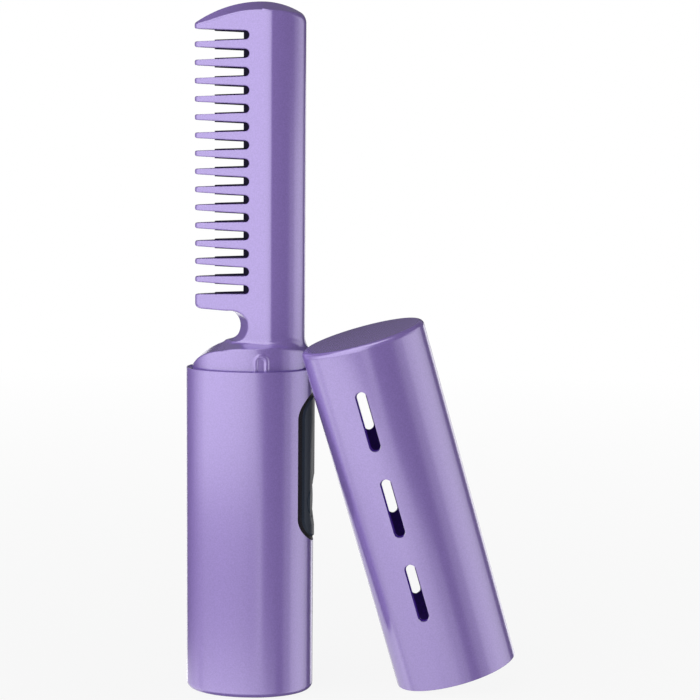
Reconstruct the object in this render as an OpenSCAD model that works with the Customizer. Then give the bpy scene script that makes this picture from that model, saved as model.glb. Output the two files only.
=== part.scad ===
// Cordless mini hair straightener: a heated comb on an oval handle, with its protective cap.
// Millimetres. Origin at the centre of the handle's flat base, +Z up along the handle.
// +X points to the side of the handle that carries the control panel, -Y is the front.

/* [Handle] */
// Width of the handle, side to side
handle_w = 38.4; // [37:0.2:46]
// Depth of the handle, front to back
handle_d = 25.6; // [25:0.2:32]
// Height of the handle, from its base to its rim
handle_h = 98.8; // [98:0.2:120]
// Wall of the handle sleeve
handle_wall = 1.7; // [1.4:0.1:2]
// Floor of the handle sleeve
floor_t = 1.8; // [1.2:0.1:2.6]
// Rounding of the base edge
base_round = 2; // [0.5:0.1:3]
// Depth of the groove in the rim, where the cap seats
seat_depth = 0.4; // [0.2:0.1:0.4]
// Clearance round the cap in that groove
seat_gap = 0.1; // [0.05:0.01:0.2]

/* [Collar and shoulder] */
// Clearance between the collar and the handle sleeve
collar_gap = 0.1; // [0.05:0.01:0.2]
// Depth that the collar reaches into the sleeve
collar_depth = 11; // [9:0.5:14]
// Wall of the collar
collar_wall = 1.6; // [1.2:0.1:2]
// Height of the shoulder above the rim
shoulder_h = 8.6; // [8:0.1:10]
// Height of the shoulder's front edge above the rim
shoulder_front_h = 6.6; // [5:0.1:7]
// Radius of the shoulder's arch, seen from the front
shoulder_r = 18.5; // [17:0.5:24]
// Width of the snap rib on the collar
rib_w = 4.6; // [3:0.2:6]
// Height of the snap rib
rib_h = 5.2; // [4:0.1:5.8]
// How far the snap rib stands out
rib_out = 0.35; // [0.2:0.05:0.5]

/* [Comb] */
// Height of the comb above the rim
comb_h = 108.4; // [104:0.4:116]
// Reach of the teeth, left of the handle's axis
comb_left = 16.6; // [16:0.1:17]
// Reach of the spine, right of the handle's axis
comb_right = 16.4; // [15.6:0.1:16.8]
// Thickness of the spine, front to back
spine_d = 14.4; // [13.6:0.2:16]
// Where the flat front face ends, right of the axis
ridge_x = 5.9; // [5:0.1:7]
// Thickness of a tooth at its tip, front to back
tip_d = 3.5; // [3:0.1:4.5]
// Radius of the crown, left of its peak
crown_left_r = 34.5; // [33:0.5:40]
// Radius of the crown, right of its peak
crown_right_r = 22; // [20:0.5:26]
// Where the crown peaks, right of the axis
crown_x = 3.4; // [2:0.1:5]
// Slope of the crown, towards the front and the back
crown_slope = 24; // [12:1:28]

/* [Teeth] */
// Distance from one slot to the next
slot_pitch = 5.34; // [5:0.02:5.4]
// Distance of the first slot's centre line below the crown
first_slot_drop = 9.95; // [9.7:0.05:12]
// Least height of the last slot's centre line above the rim
teeth_foot = 23.4; // [23.1:0.1:28]
// Height of a slot at its root
slot_root_h = 2.56; // [2.2:0.02:2.8]
// Height of a slot at the tips
slot_tip_h = 3.7; // [3.2:0.02:4]
// Rounding of the tooth tips
tip_round = 0.7; // [0.4:0.05:0.75]
// Where the slots end, right of the axis
slot_end_x = 0.1; // [-1:0.1:1]

/* [Hair notch] */
// Radius of the notch under the last tooth
notch_r = 4.05; // [3.4:0.05:4.4]
// Centre of the notch, left of the axis
notch_x = 7; // [6:0.1:9]
// Height of the notch's centre above the rim
notch_z = 13.5; // [13:0.1:15]
// Angle at which the notch flares towards the front and the back
notch_flare = 25; // [10:1:30]

/* [Heater] */
// Thickness of the heating plate
plate_t = 1.6; // [1.2:0.1:2]
// Reach of the plate's teeth, left of the axis
plate_left = 10.6; // [9:0.1:12]
// Reach of the plate, right of the axis
plate_right = 12; // [11:0.1:12.6]
// Lip by which the plate's teeth show above and below the plastic teeth
plate_lip = 0.36; // [0.2:0.02:0.5]
// Where the plate's slots end, left of the axis
plate_slot_x = 2; // [1:0.1:3]
// Length of one heating element
ptc_len = 20; // [16:1:22]
// Width of one heating element
ptc_w = 8.6; // [7:0.1:9]
// Thickness of one heating element
ptc_t = 2; // [1.6:0.1:2.2]
// Clearance round the pieces held inside the comb
comb_fit = 0.1; // [0.05:0.01:0.15]

/* [Control panel] */
// Length of the control panel, along the handle
panel_len = 47.8; // [44:0.2:50]
// Width of the control panel, front to back
panel_w = 15.7; // [15.6:0.1:17]
// Distance of the panel's centre below the rim
panel_drop = 30.7; // [29.8:0.1:32.8]
// Depth of the recess that holds the panel
panel_recess = 0.9; // [0.7:0.05:1]
// How far the panel's face stands proud of the handle
panel_proud = 0.3; // [0.1:0.05:0.5]
// Width of the dark border round the panel's face
border_w = 1; // [0.6:0.1:1.4]
// Depth of that border
border_d = 0.4; // [0.2:0.05:0.5]
// Width of the ledge under the panel's edge
ledge_w = 1.5; // [1:0.1:2]
// Clearance round the panel
panel_gap = 0.12; // [0.05:0.01:0.2]

/* [Power button] */
// Diameter of the power button
button_d = 10.6; // [9:0.2:11]
// Distance of the button's centre below the panel's centre
button_drop = 10.5; // [8.1:0.1:11.1]
// Clearance round the button
button_gap = 0.15; // [0.1:0.01:0.3]
// How far the button travels
button_travel = 0.5; // [0.3:0.05:0.6]
// Depth of the finger dish in the button and the panel
dish_depth = 1.05; // [0.6:0.05:1.2]
// Length of the finger dish
dish_len = 16.4; // [14:0.2:17]

/* [Battery and board] */
// Diameter of the battery cell
cell_d = 18.3; // [17:0.1:18.6]
// Length of the battery cell
cell_len = 65; // [50:0.5:66]
// Axis of the cell, left of the handle's axis
cell_x = 5; // [4.8:0.1:5.4]
// Clearance round the cell
cell_gap = 0.15; // [0.1:0.01:0.25]
// Thickness of the foam pads at the cell's ends
foam_t = 1; // [0.8:0.1:1.4]
// Thickness of the circuit board
board_t = 1.2; // [0.8:0.1:1.6]
// Width of the circuit board
board_w = 15; // [14:0.1:15.4]
// Gap between the board's top and the frame's upper deck
board_top_gap = 2.4; // [1.9:0.1:6]
// Depth of the board's front face inside the handle's side
board_depth = 8.8; // [8.6:0.1:9]
// Thickness of the walls and decks of the inner frame
frame_t = 1.4; // [1:0.1:1.5]
// Clearance between the frame and the sleeve
frame_gap = 0.15; // [0.1:0.01:0.3]

/* [Charging socket] */
// Width of the socket's metal shell
usb_w = 8.94; // [8.8:0.02:9.1]
// Thickness of the socket's metal shell
usb_h = 3.26; // [3.1:0.02:3.4]
// Length of the socket's metal shell
usb_len = 7.35; // [6.5:0.05:8]
// Clearance between the socket and the handle's floor
usb_gap = 0.2; // [0.1:0.02:0.3]

/* [Cap] */
// Width of the cap
cap_w = 37.2; // [37:0.1:38]
// Depth of the cap
cap_d = 24.7; // [24.6:0.1:25.4]
// Length of the cap
cap_len = 109.6; // [109.6:0.2:122]
// Wall of the cap's shell
cap_wall = 0.6; // [0.5:0.05:0.7]
// Wall of the cap's dark liner
liner_t = 0.5; // [0.35:0.05:0.5]
// Gap between the shell and the liner
liner_gap = 0.03; // [0.02:0.01:0.05]
// Rounding of the cap's top edge
cap_round = 1.5; // [1:0.1:2.5]
// Number of vents, in the front and again in the back
vent_count = 3; // [1:1:3]
// Length of a vent
vent_len = 18; // [12:0.5:20]
// Width of a vent
vent_w = 3.4; // [2.4:0.1:4.4]
// Distance from one vent to the next
vent_pitch = 27.6; // [22:0.2:30]
// Distance from the cap's top to the first vent's centre
vent_drop = 22.6; // [18:0.2:26]
// Offset of the vents, left of the cap's middle
vent_x = 4.8; // [4:0.1:6]

/* [Where the cap leans] */
// Lean of the cap towards the handle
lean_side = 15.6; // [14:0.1:15.8]
// Lean of the cap's top towards the front
lean_front = 8; // [5:0.1:10]
// Turn of the cap about its own length
cap_turn = 2.8; // [0:0.2:8]
// Gap between the cap and the rim that it leans on
lean_gap = 0.2; // [0.1:0.05:2]
// Distance of the cap's foot behind the handle's axis
foot_y = 6.2; // [4:0.1:8]

/* [Hidden] */
$fn = 64;
eps = 0.01;
past = 1;

lavender = [0.72, 0.65, 0.86];
night_blue = [0.05, 0.03, 0.14];
charcoal = [0.16, 0.18, 0.22];
near_black = [0.06, 0.06, 0.08];
board_green = [0.05, 0.28, 0.16];
bright_metal = [0.78, 0.78, 0.8];
copper = [0.8, 0.5, 0.3];
ceramic = [0.9, 0.88, 0.84];
foam_grey = [0.3, 0.3, 0.32];
lead_red = [0.75, 0.08, 0.06];

// Sleeve and collar
foot_t = 0.1;
foot_inset = 0.2;
bore_w = handle_w - 2 * handle_wall;
bore_d = handle_d - 2 * handle_wall;
collar_w = bore_w - 2 * collar_gap;
collar_d = bore_d - 2 * collar_gap;
collar_in_w = collar_w - 2 * collar_wall;
collar_in_d = collar_d - 2 * collar_wall;
collar_z = handle_h - collar_depth;
shoulder_x = 2;
shoulder_right_x = 6;
shoulder_roof = 1.8;
shoulder_straight = 1.4;
rib_x = 4.4;
rib_lift = 0.2;

// Comb
comb_z = handle_h + comb_h;
spine_b = spine_d / 2;
ridge_y = spine_b * sqrt(1 - pow(ridge_x / comb_right, 2));
crown_flank = 12;
comb_foot = 5;
slot_count = floor((comb_h - first_slot_drop - teeth_foot) / slot_pitch) + 1;
slot_z = [for (i = [0:slot_count - 1]) comb_z - first_slot_drop - i * slot_pitch];
last_slot_z = slot_z[slot_count - 1];
root_x = slot_end_x - slot_root_h / 2;
last_tooth_h = 3.6;
last_tooth_z = last_slot_z - slot_tip_h / 2 - last_tooth_h;
notch_meet = 0.25;
corner_r = 1.3;

// Heating plate and what lies on it
plate_over = 1.9;
plate_under = 1.4;
plate_top = slot_z[0] + slot_tip_h / 2 + plate_over;
plate_bottom = last_slot_z - slot_tip_h / 2 - plate_under;
heater_x = slot_end_x + 1.6;
ptc_gap = 3;
ptc_pitch = ptc_len + ptc_gap;
heater_foot = 4.6;
heater_z = plate_bottom + heater_foot;
ptc_count = floor((plate_top - plate_bottom - 2 * heater_foot + ptc_gap) / ptc_pitch);
heater_top = heater_z + (ptc_count - 1) * ptc_pitch + ptc_len;
strip_t = 0.3;
mica_t = 0.2;
heater_depth = plate_t / 2 + ptc_t + strip_t + mica_t;
lead_d = 1.4;
lead_x = handle_w / 2 - board_depth - board_t - lead_d / 2;
lead_y = 3;
lead_fit = 0.6;
heater_lead_drop = 6;
sensor_lead_drop = 2;
fuse_d = 3.2;
fuse_len = 9;
end_room = 0.3;
channel_gap = 0.2;
channel_x = [lead_x - fuse_d / 2 - channel_gap, lead_x + fuse_d / 2 + channel_gap];
channel_y = 4.2;
fuse_rise = 2;
fuse_z = heater_z + fuse_rise;
sensor_gap = 4.3;
sensor_x = lead_x - sensor_gap;
sensor_y = 1.7;
sensor_d = 0.9;
sensor_size = [2.4, 2, 4];
sensor_rise = 7;
sensor_z = heater_z + sensor_rise;

// Inner frame, from the floor up
deck_z = floor_t;
tab_t = 0.2;
cell_z = deck_z + frame_t + foam_t + tab_t;
cell_top = cell_z + cell_len;
groove_d = 0.4;
groove_h = 1.2;
groove_drop = 2.6;
tab_len = 11.4;
tab_w = 6.6;
tab_reach = 4;
foam_inset = 2;
frame_w = bore_w - 2 * frame_gap;
frame_d = bore_d - 2 * frame_gap;
spine_clear = 0.6;
spine_x = -cell_x + cell_d / 2 + cell_gap + spine_clear;
cradle_t = 0.9;
cradle_r = cell_d / 2 + cell_gap + cradle_t;
cradle_h = 6;
cradle_back = 1;
cradle_rise = 10;
cradle_z = [cell_z + cradle_rise, cell_z + cell_len * 0.7];
barrier_t = 1.5;
flange_t = 1.5;
barrier_z = collar_z - barrier_t;
flange_z = barrier_z - flange_t;
board_lift = 0.6;
board_z = floor_t + board_lift;
board_x = handle_w / 2 - board_depth;
board_back = board_x - board_t;
board_len = flange_z - board_z - board_top_gap;
deck_gap = 0.4;
panel_z = handle_h - panel_drop;
button_z = panel_z - button_drop;
post_d = 4;
post_rise = 14;
post_over = 6;
post_z = [board_z + post_rise, button_z + post_over];
lead_window = [12, 8];
wire_d = foam_t;
wire_y = 0;
wire_in = 1.6;
wire_start_x = -cell_x + wire_in;
wire_z = [cell_z - tab_t - wire_d / 2, cell_top + tab_t + wire_d / 2];

// Screws
screw_d = 2;
screw_head_d = 3.6;
screw_head_t = 1.4;
screw_fit = 0.05;
screw_tip_gap = 0.4;
comb_screw_inset = 5.4;
comb_screw_rise = 5.5;
comb_screw_x = collar_w / 2 - comb_screw_inset;
comb_screw_z = collar_z + comb_screw_rise;
comb_head_edge = (comb_screw_x + screw_head_d / 2) / (collar_w / 2);
comb_head_gap = 0.2;
comb_screw_seat = collar_d / 2 * sqrt(1 - pow(comb_head_edge, 2)) - screw_head_t - comb_head_gap;
comb_screw_cover = 2;
comb_boss_d = 4.6;
frame_screw_inset = 3.4;
frame_screw_y = collar_d / 2 - frame_screw_inset;
frame_screw_len = 9;
frame_boss_d = 4.4;
frame_boss_h = 8;

// Board components
usb_x = board_x + usb_h / 2;
usb_z = 0.4;
usb_wall = 0.3;
usb_back_t = 1.6;
usb_root = 1;
usb_back_fit = 0.02;
tongue_t = 0.7;
tongue_w = 6.7;
tongue_len = 3.6;
switch_w = 6;
switch_h = 3.1;
plunger_d = 3.2;
plunger_out = 0.85;
plunger_in = 0.65;
plunger_gap = 0.06;
switch_top = board_x + switch_h;
plunger_top = switch_top + plunger_out;
led_rise = 12;
led_pitch = 5;
led_z = [for (i = [0:2]) button_z + led_rise + led_pitch * i];
guide_w = 6;
guide_end = 2.6;
guide_fit = 0.1;
guide_hole_d = 3;

// Board components: width, length along the board and height
led_size = [0.8, 1.6, 0.6];
control_chip_size = [7, 7, 1];
charge_chip_size = [4, 5, 1.2];
coil_size = [6, 6, 3];
capacitor_size = [1.6, 3.2, 1.5];
transistor_size = [5, 6, 1];
component_gap = 1;
component_y = 3.4;
coil_well_d = 3.6;
coil_well_h = 0.6;
coil_z = post_z[0] + (screw_head_d + coil_size[1]) / 2 + component_gap;
capacitor_z = coil_z + (coil_size[1] + capacitor_size[1]) / 2 + component_gap;
transistor_z = button_z - (switch_w + transistor_size[1]) / 2 - component_gap;
control_chip_z = transistor_z - (transistor_size[1] + control_chip_size[1]) / 2 - component_gap;

// Control panel and button
panel_floor_w = handle_w - 2 * panel_recess;
panel_floor_d = handle_d - 2 * panel_recess;
tape_t = 0.15;
panel_face_x = handle_w / 2 + panel_proud;
panel_depth = 3.2;
panel_back_x = handle_w / 2 - panel_depth;
plug_bottom = panel_z - panel_len / 2 + ledge_w;
plug_gap = 0.4;
plug_top = flange_z - plug_gap;
plug_z = (plug_top + plug_bottom) / 2;
plug_len = plug_top - plug_bottom;
led_recess = 1.8;
dish_r = (pow(dish_len / 2, 2) + pow(dish_depth, 2)) / (2 * dish_depth);
dish_x = panel_face_x - dish_depth + dish_r;
flange_over = 0.9;
button_flange_t = 0.7;
button_back_x = panel_back_x - button_gap - button_flange_t;
stem_d = 3;
stem_gap = 0.05;

// Cap
cap_in_w = cap_w - 2 * cap_wall;
cap_in_d = cap_d - 2 * cap_wall;
liner_w = cap_in_w - 2 * liner_gap;
liner_d = cap_in_d - 2 * liner_gap;
liner_z = 0.5;
liner_top = cap_len - cap_round - 0.4;
cap_x_rise = sin(lean_side) * cos(cap_turn) + cos(lean_side) * sin(cap_turn) * sin(lean_front);
cap_y_rise = cos(lean_side) * cos(cap_turn) * sin(lean_front) - sin(lean_side) * sin(cap_turn);
foot_z = norm([cap_w / 2 * cap_x_rise, cap_d / 2 * cap_y_rise]);
cap_corner_z = foot_z + cap_len * cos(lean_front) * cos(lean_side) - cap_w / 2 * sin(lean_side);
touch_rise = min(handle_h, cap_corner_z - cap_round) - foot_z;
axis_y = foot_y - touch_rise * tan(lean_front) / cos(lean_side);
touch_y = axis_y / (handle_d / 2 + cap_d / 2 / cos(lean_front));
touch_x = (handle_w / 2 + cap_w / 2 / cos(lean_side)) * sqrt(1 - pow(touch_y, 2));
foot_x = touch_x + touch_rise * tan(lean_side) + lean_gap;

// Oval outline
module oval(w, d) {
    scale([1, d / w]) circle(d = w);
}

// Oval column standing on z = 0
module oval_column(w, d, h) {
    linear_extrude(h) oval(w, d);
}

// The front half of an outline for side 1, and its back half for side -1
module half(side) {
    intersection() {
        children();
        translate([-handle_w, side > 0 ? -handle_d : 0]) square([2 * handle_w, handle_d]);
    }
}

// Oval disc, as high as the rounding of its lower edge
module oval_edge(w, d, r) {
    scale([1, d / w, 1]) rotate_extrude() union() {
        square([w / 2 - r, r]);
        intersection() {
            translate([w / 2 - r, r]) circle(r);
            square([w, r]);
        }
    }
}

// Flat outline with full round ends, drawn with its length along Y
module stadium(w, len) {
    square([w, len - w], center = true);
    for (s = [-1, 1]) {
        translate([0, s * (len - w) / 2]) circle(d = w);
    }
}

// Stadium in the YZ plane, its length along Z, running from x to the right
module side_stadium(w, len, x, depth) {
    translate([x, 0, 0]) rotate([90, 0, 90]) linear_extrude(depth) stadium(w, len);
}

// Cylinder along X
module x_cylinder(d, x, len) {
    translate([x, 0, 0]) rotate([0, 90, 0]) cylinder(d = d, h = len);
}

// Outline in the XZ plane, run from y0 to y1
module front_outline(y0, y1) {
    translate([0, y1, 0]) rotate([90, 0, 0]) linear_extrude(y1 - y0) children();
}

// Handle

module handle_shell() {
    color(lavender) difference() {
        union() {
            handle_foot();
            translate([0, 0, foot_t]) oval_edge(handle_w, handle_d, base_round);
            translate([0, 0, foot_t + base_round])
                oval_column(handle_w, handle_d, handle_h - foot_t - base_round);
        }
        translate([0, 0, floor_t]) oval_column(bore_w, bore_d, handle_h);
        translate([0, 0, handle_h - seat_depth])
            oval_column(cap_w + 2 * seat_gap, cap_d + 2 * seat_gap, seat_depth + past);
        panel_recess_cut();
        translate([0, 0, plug_z]) side_stadium(panel_w - 2 * ledge_w, plug_len, board_x, handle_w / 2);
        translate([usb_x, 0, -eps]) linear_extrude(floor_t + 2 * eps)
            stadium(usb_h + 2 * usb_gap, usb_w + 2 * usb_gap);
    }
}

// Foot on which the handle stands, cut flat just below the rounded edge
module handle_foot() {
    inset = 2 * (base_round + foot_inset);
    difference() {
        translate([0, 0, -past]) oval_column(handle_w - inset, handle_d - inset, past + base_round);
        translate([-handle_w / 2, -handle_d / 2, -2 * past]) cube([handle_w, handle_d, 2 * past]);
    }
}

module panel_recess_cut() {
    difference() {
        translate([0, 0, panel_z]) side_stadium(panel_w, panel_len, 0, handle_w);
        oval_column(panel_floor_w, panel_floor_d, handle_h);
    }
}

module panel_adhesive() {
    color(near_black) translate([0, 0, panel_z]) intersection() {
        difference() {
            side_stadium(panel_w - 2 * panel_gap, panel_len - 2 * panel_gap, 0, handle_w);
            translate([0, 0, plug_z - panel_z])
                side_stadium(panel_w - 2 * ledge_w, plug_len, -eps, handle_w + past);
        }
        translate([0, 0, -panel_len / 2]) difference() {
            oval_column(panel_floor_w + 2 * tape_t, panel_floor_d + 2 * tape_t, panel_len);
            translate([0, 0, -past]) oval_column(panel_floor_w, panel_floor_d, panel_len + 2 * past);
        }
    }
}

module control_panel() {
    color(charcoal) difference() {
        translate([0, 0, panel_z]) union() {
            panel_layer(0, panel_floor_w + 2 * tape_t, panel_proud - border_d);
            panel_layer(border_w, panel_floor_w + 2 * tape_t, panel_proud);
            panel_plug();
        }
        translate([dish_x, 0, button_z]) sphere(dish_r, $fn = 160);
        translate([0, 0, button_z]) x_cylinder(button_d + 2 * button_gap, board_x, handle_w);
        translate([panel_back_x - eps, 0, led_z[1]]) rotate([0, 90, 0])
            cylinder(d = guide_w, h = led_recess);
    }
}

// One layer of the panel, inset from its edge, between an oval and the handle's surface
module panel_layer(inset, low_w, proud) {
    edge = panel_gap + inset;
    low_d = low_w - handle_w + handle_d;
    intersection() {
        side_stadium(panel_w - 2 * edge, panel_len - 2 * edge, 0, handle_w);
        translate([0, 0, -panel_len / 2]) difference() {
            oval_column(handle_w + 2 * proud, handle_d + 2 * proud, panel_len);
            translate([0, 0, -past]) oval_column(low_w, low_d, panel_len + 2 * past);
        }
    }
}

// The part of the panel that reaches through the handle's wall
module panel_plug() {
    intersection() {
        translate([0, 0, plug_z - panel_z])
            side_stadium(panel_w - 2 * (ledge_w + panel_gap), plug_len - 2 * panel_gap,
                panel_back_x, handle_w);
        translate([0, 0, -panel_len / 2])
            oval_column(handle_w + eps, handle_d + eps, panel_len);
    }
}

module power_button() {
    color(near_black) translate([0, 0, button_z]) difference() {
        union() {
            x_cylinder(button_d, button_back_x, panel_face_x - button_back_x);
            x_cylinder(button_d + 2 * flange_over, button_back_x, button_flange_t);
            x_cylinder(stem_d, plunger_top + stem_gap, button_back_x - plunger_top);
        }
        translate([dish_x, 0, 0]) sphere(dish_r, $fn = 160);
    }
}

// Inside the handle

module inner_frame() {
    color(foam_grey) difference() {
        union() {
            translate([0, 0, deck_z]) frame_deck(frame_t);
            translate([0, 0, flange_z]) oval_column(frame_w, frame_d, flange_t);
            frame_wall();
            for (z = cradle_z) {
                translate([0, 0, z]) frame_cradle();
            }
            for (z = post_z) {
                translate([0, 0, z]) x_cylinder(post_d, spine_x, board_back - spine_x);
            }
        }
        translate([-cell_x, 0, deck_z + frame_t]) cylinder(d = cell_d + 2 * cell_gap, h = cell_len + 2 * past);
        for (z = post_z) {
            translate([0, 0, z]) x_cylinder(screw_d + 2 * screw_fit, spine_x - past, board_x);
        }
        frame_wire_ways();
        for (s = [-1, 1]) {
            translate([0, s * frame_screw_y, flange_z - past])
                cylinder(d = screw_d + 2 * screw_fit, h = flange_t + 2 * past);
        }
    }
}

// Floor deck, cut away on the right for the board and its socket
module frame_deck(t) {
    difference() {
        oval_column(frame_w, frame_d, t);
        translate([board_back - deck_gap, -frame_d, -past]) cube([frame_w, 2 * frame_d, t + 2 * past]);
    }
}

// Saddle round the cell, kept inside the sleeve
module frame_cradle() {
    intersection() {
        translate([-cell_x, 0, 0]) cylinder(r = cradle_r, h = cradle_h);
        oval_column(frame_w, frame_d, cradle_h);
        translate([-cell_x - cradle_back, -frame_d, -past]) cube([frame_w, 2 * frame_d, cradle_h + 2 * past]);
    }
}

// Upright wall between the cell and the board
module frame_wall() {
    intersection() {
        translate([spine_x, -frame_d / 2, deck_z])
            cube([frame_t, frame_d, flange_z - deck_z + eps]);
        translate([0, 0, deck_z]) oval_column(frame_w, frame_d, flange_z);
    }
}

module frame_wire_ways() {
    for (z = wire_z) {
        translate([0, wire_y, z]) x_cylinder(2 * wire_d, spine_x - past, frame_t + 2 * past);
    }
    translate([spine_x - past, -lead_window[0] / 2, flange_z - lead_window[1]])
        cube([frame_t + 2 * past, lead_window[0], lead_window[1]]);
    for (y = [-lead_y, lead_y]) {
        translate([lead_x, y, flange_z - past]) cylinder(d = lead_d + lead_fit, h = flange_t + 2 * past);
    }
    translate([sensor_x, sensor_y, flange_z - past]) cylinder(d = sensor_d + lead_fit, h = flange_t + 2 * past);
}

module battery_cell() {
    color([0.35, 0.55, 0.75]) translate([-cell_x, 0, cell_z]) rotate_extrude() difference() {
        square([cell_d / 2, cell_len]);
        translate([cell_d / 2 - groove_d, cell_len - groove_drop]) square([2 * groove_d, groove_h]);
    }
}

module battery_tabs() {
    color(bright_metal) for (z = [cell_z - tab_t, cell_top]) {
        translate([-cell_x - tab_reach, wire_y + wire_d / 2 - tab_w, z]) cube([tab_len, tab_w, tab_t]);
    }
}

module foam_pads() {
    color(foam_grey) {
        translate([-cell_x, 0, deck_z + frame_t]) foam_pad(foam_t);
        translate([-cell_x, 0, cell_top + tab_t]) foam_pad(foam_t);
    }
}

// Round pad, cut away where the battery lead passes
module foam_pad(t) {
    difference() {
        cylinder(d = cell_d - 2 * foam_inset, h = t);
        translate([past, wire_y - wire_d, -past]) cube([cell_d, 2 * wire_d, t + 2 * past]);
    }
}

module battery_leads() {
    color(lead_red) for (z = wire_z) {
        translate([0, wire_y, z]) x_cylinder(wire_d, wire_start_x, board_back - wire_start_x);
    }
}

module main_board() {
    color(board_green) difference() {
        translate([board_back, -board_w / 2, board_z]) cube([board_t, board_w, board_len]);
        for (z = post_z) {
            translate([0, 0, z]) x_cylinder(screw_d + 2 * screw_fit, board_back - past, board_t + 2 * past);
        }
    }
}

module board_screws() {
    color(bright_metal) for (z = post_z) {
        translate([0, 0, z]) {
            x_cylinder(screw_d, spine_x + screw_tip_gap, board_x - spine_x);
            x_cylinder(screw_head_d, board_x, screw_head_t);
        }
    }
}

// A component that lies on the board's front face
module chip(z, y, size) {
    translate([board_x, y - size[0] / 2, z - size[1] / 2]) cube([size[2], size[0], size[1]]);
}

module control_chip() {
    color(near_black) chip(control_chip_z, 0, control_chip_size);
}

module charge_chip() {
    color(near_black) chip(coil_z, -component_y, charge_chip_size);
}

module power_coil() {
    color(foam_grey) difference() {
        chip(coil_z, component_y, coil_size);
        translate([0, component_y, coil_z])
            x_cylinder(coil_well_d, board_x + coil_size[2] - coil_well_h, coil_size[2]);
    }
}

module capacitors() {
    color([0.75, 0.62, 0.45]) for (i = [-1:1]) {
        chip(capacitor_z, i * component_y, capacitor_size);
    }
}

module power_transistors() {
    color(near_black) for (s = [-1, 1]) {
        chip(transistor_z, s * component_y, transistor_size);
    }
}

module switch_body() {
    color(near_black) difference() {
        chip(button_z, 0, [switch_w, switch_w, switch_h]);
        translate([0, 0, button_z])
            x_cylinder(plunger_d + 2 * plunger_gap,
                switch_top - plunger_in - button_travel - 0.1, switch_h);
    }
}

module switch_plunger() {
    color(ceramic) translate([0, 0, button_z])
        x_cylinder(plunger_d, switch_top - plunger_in, plunger_in + plunger_out);
}

module indicator_leds() {
    color("white") for (z = led_z) {
        chip(z, 0, led_size);
    }
}

module light_guide() {
    bottom = led_z[0] - guide_end;
    color(foam_grey) difference() {
        translate([board_x, -guide_w / 2, bottom])
            cube([panel_back_x - board_x - guide_fit, guide_w, led_z[2] - bottom + guide_end]);
        for (z = led_z) {
            translate([0, 0, z]) x_cylinder(guide_hole_d, board_x - past, handle_w);
        }
    }
}

module usb_shell() {
    color(bright_metal) translate([usb_x, 0, usb_z]) difference() {
        linear_extrude(usb_len) stadium(usb_h, usb_w);
        translate([0, 0, -past]) linear_extrude(usb_len)
            stadium(usb_h - 2 * usb_wall, usb_w - 2 * usb_wall);
    }
}

module usb_tongue() {
    root_z = usb_z + usb_len - usb_root;
    color(near_black) translate([usb_x, 0, root_z]) union() {
        translate([0, 0, -usb_back_t]) linear_extrude(usb_back_t - usb_back_fit)
            stadium(usb_h - 2 * (usb_wall + usb_back_fit), usb_w - 2 * (usb_wall + usb_back_fit));
        translate([-tongue_t / 2, -tongue_w / 2, -usb_back_t - tongue_len])
            cube([tongue_t, tongue_w, tongue_len + usb_back_t / 2]);
    }
}

module frame_screws() {
    color(bright_metal) for (s = [-1, 1]) {
        translate([0, s * frame_screw_y, flange_z]) {
            translate([0, 0, -screw_head_t]) cylinder(d = screw_head_d, h = screw_head_t);
            cylinder(d = screw_d, h = frame_screw_len);
        }
    }
}

module heat_barrier() {
    color([0.55, 0.5, 0.45]) translate([0, 0, barrier_z]) difference() {
        oval_column(collar_w, collar_d, barrier_t);
        translate([channel_x[0], -channel_y, -past])
            cube([channel_x[1] - channel_x[0], 2 * channel_y, barrier_t + 2 * past]);
        translate([sensor_x, sensor_y, -past]) cylinder(d = sensor_d + lead_fit / 2, h = barrier_t + 2 * past);
        for (s = [-1, 1]) {
            translate([0, s * frame_screw_y, -past]) cylinder(d = screw_d + 2 * screw_fit, h = barrier_t + 2 * past);
        }
    }
}

// Comb

// Section of the comb seen from above: a flat-sided wedge that runs into a round spine
module comb_section() {
    intersection() {
        scale([1, spine_d / (2 * comb_right)]) circle(comb_right);
        translate([ridge_x, -spine_d]) square([comb_right, 2 * spine_d]);
    }
    tip_x = -comb_left + tip_d / 2;
    polygon([[ridge_x, -ridge_y], [ridge_x, ridge_y], [tip_x, tip_d / 2], [tip_x, -tip_d / 2]]);
    translate([tip_x, 0]) circle(d = tip_d);
}

// Crown of the comb as two arcs that meet at its peak
module crown_outline(top, bottom) {
    left = -comb_left - 2;
    right = comb_right + 2;
    flank = top - crown_flank;
    translate([left, bottom]) square([right - left, flank - bottom]);
    intersection() {
        translate([crown_x, top - crown_left_r]) circle(crown_left_r, $fn = 180);
        translate([left, flank - eps]) square([crown_x - left, crown_flank + past]);
    }
    intersection() {
        translate([crown_x, top - crown_right_r]) circle(crown_right_r, $fn = 180);
        translate([crown_x, flank - eps]) square([right - crown_x, crown_flank + past]);
    }
}

// Everything below the crown's slope, on one side of the comb
module crown_side(side) {
    translate([0, 0, comb_z]) rotate([side * crown_slope, 0, 0]) translate([0, 0, -comb_z])
        front_outline(side > 0 ? -comb_h / 2 : -spine_d, side > 0 ? spine_d : comb_h / 2)
            crown_outline(comb_z, handle_h - comb_h / 4);
}

// Slot between two teeth, open to the left; lip narrows it all round
module slot_outline(z, lip, end_x) {
    root = slot_root_h / 2 - lip;
    tip = slot_tip_h / 2 - lip;
    tip_x = -comb_left + tip_round;
    translate([0, z]) polygon([
        [end_x, -root], [end_x, root], [tip_x, tip], [-comb_left - eps, tip + tip_round],
        [-comb_left - past, tip + tip_round], [-comb_left - past, -tip - tip_round],
        [-comb_left - eps, -tip - tip_round], [tip_x, -tip]
    ]);
}

module comb_slots() {
    for (z = slot_z) {
        slot_outline(z, 0, root_x);
        translate([root_x, z]) circle(d = slot_root_h);
    }
}

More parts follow.
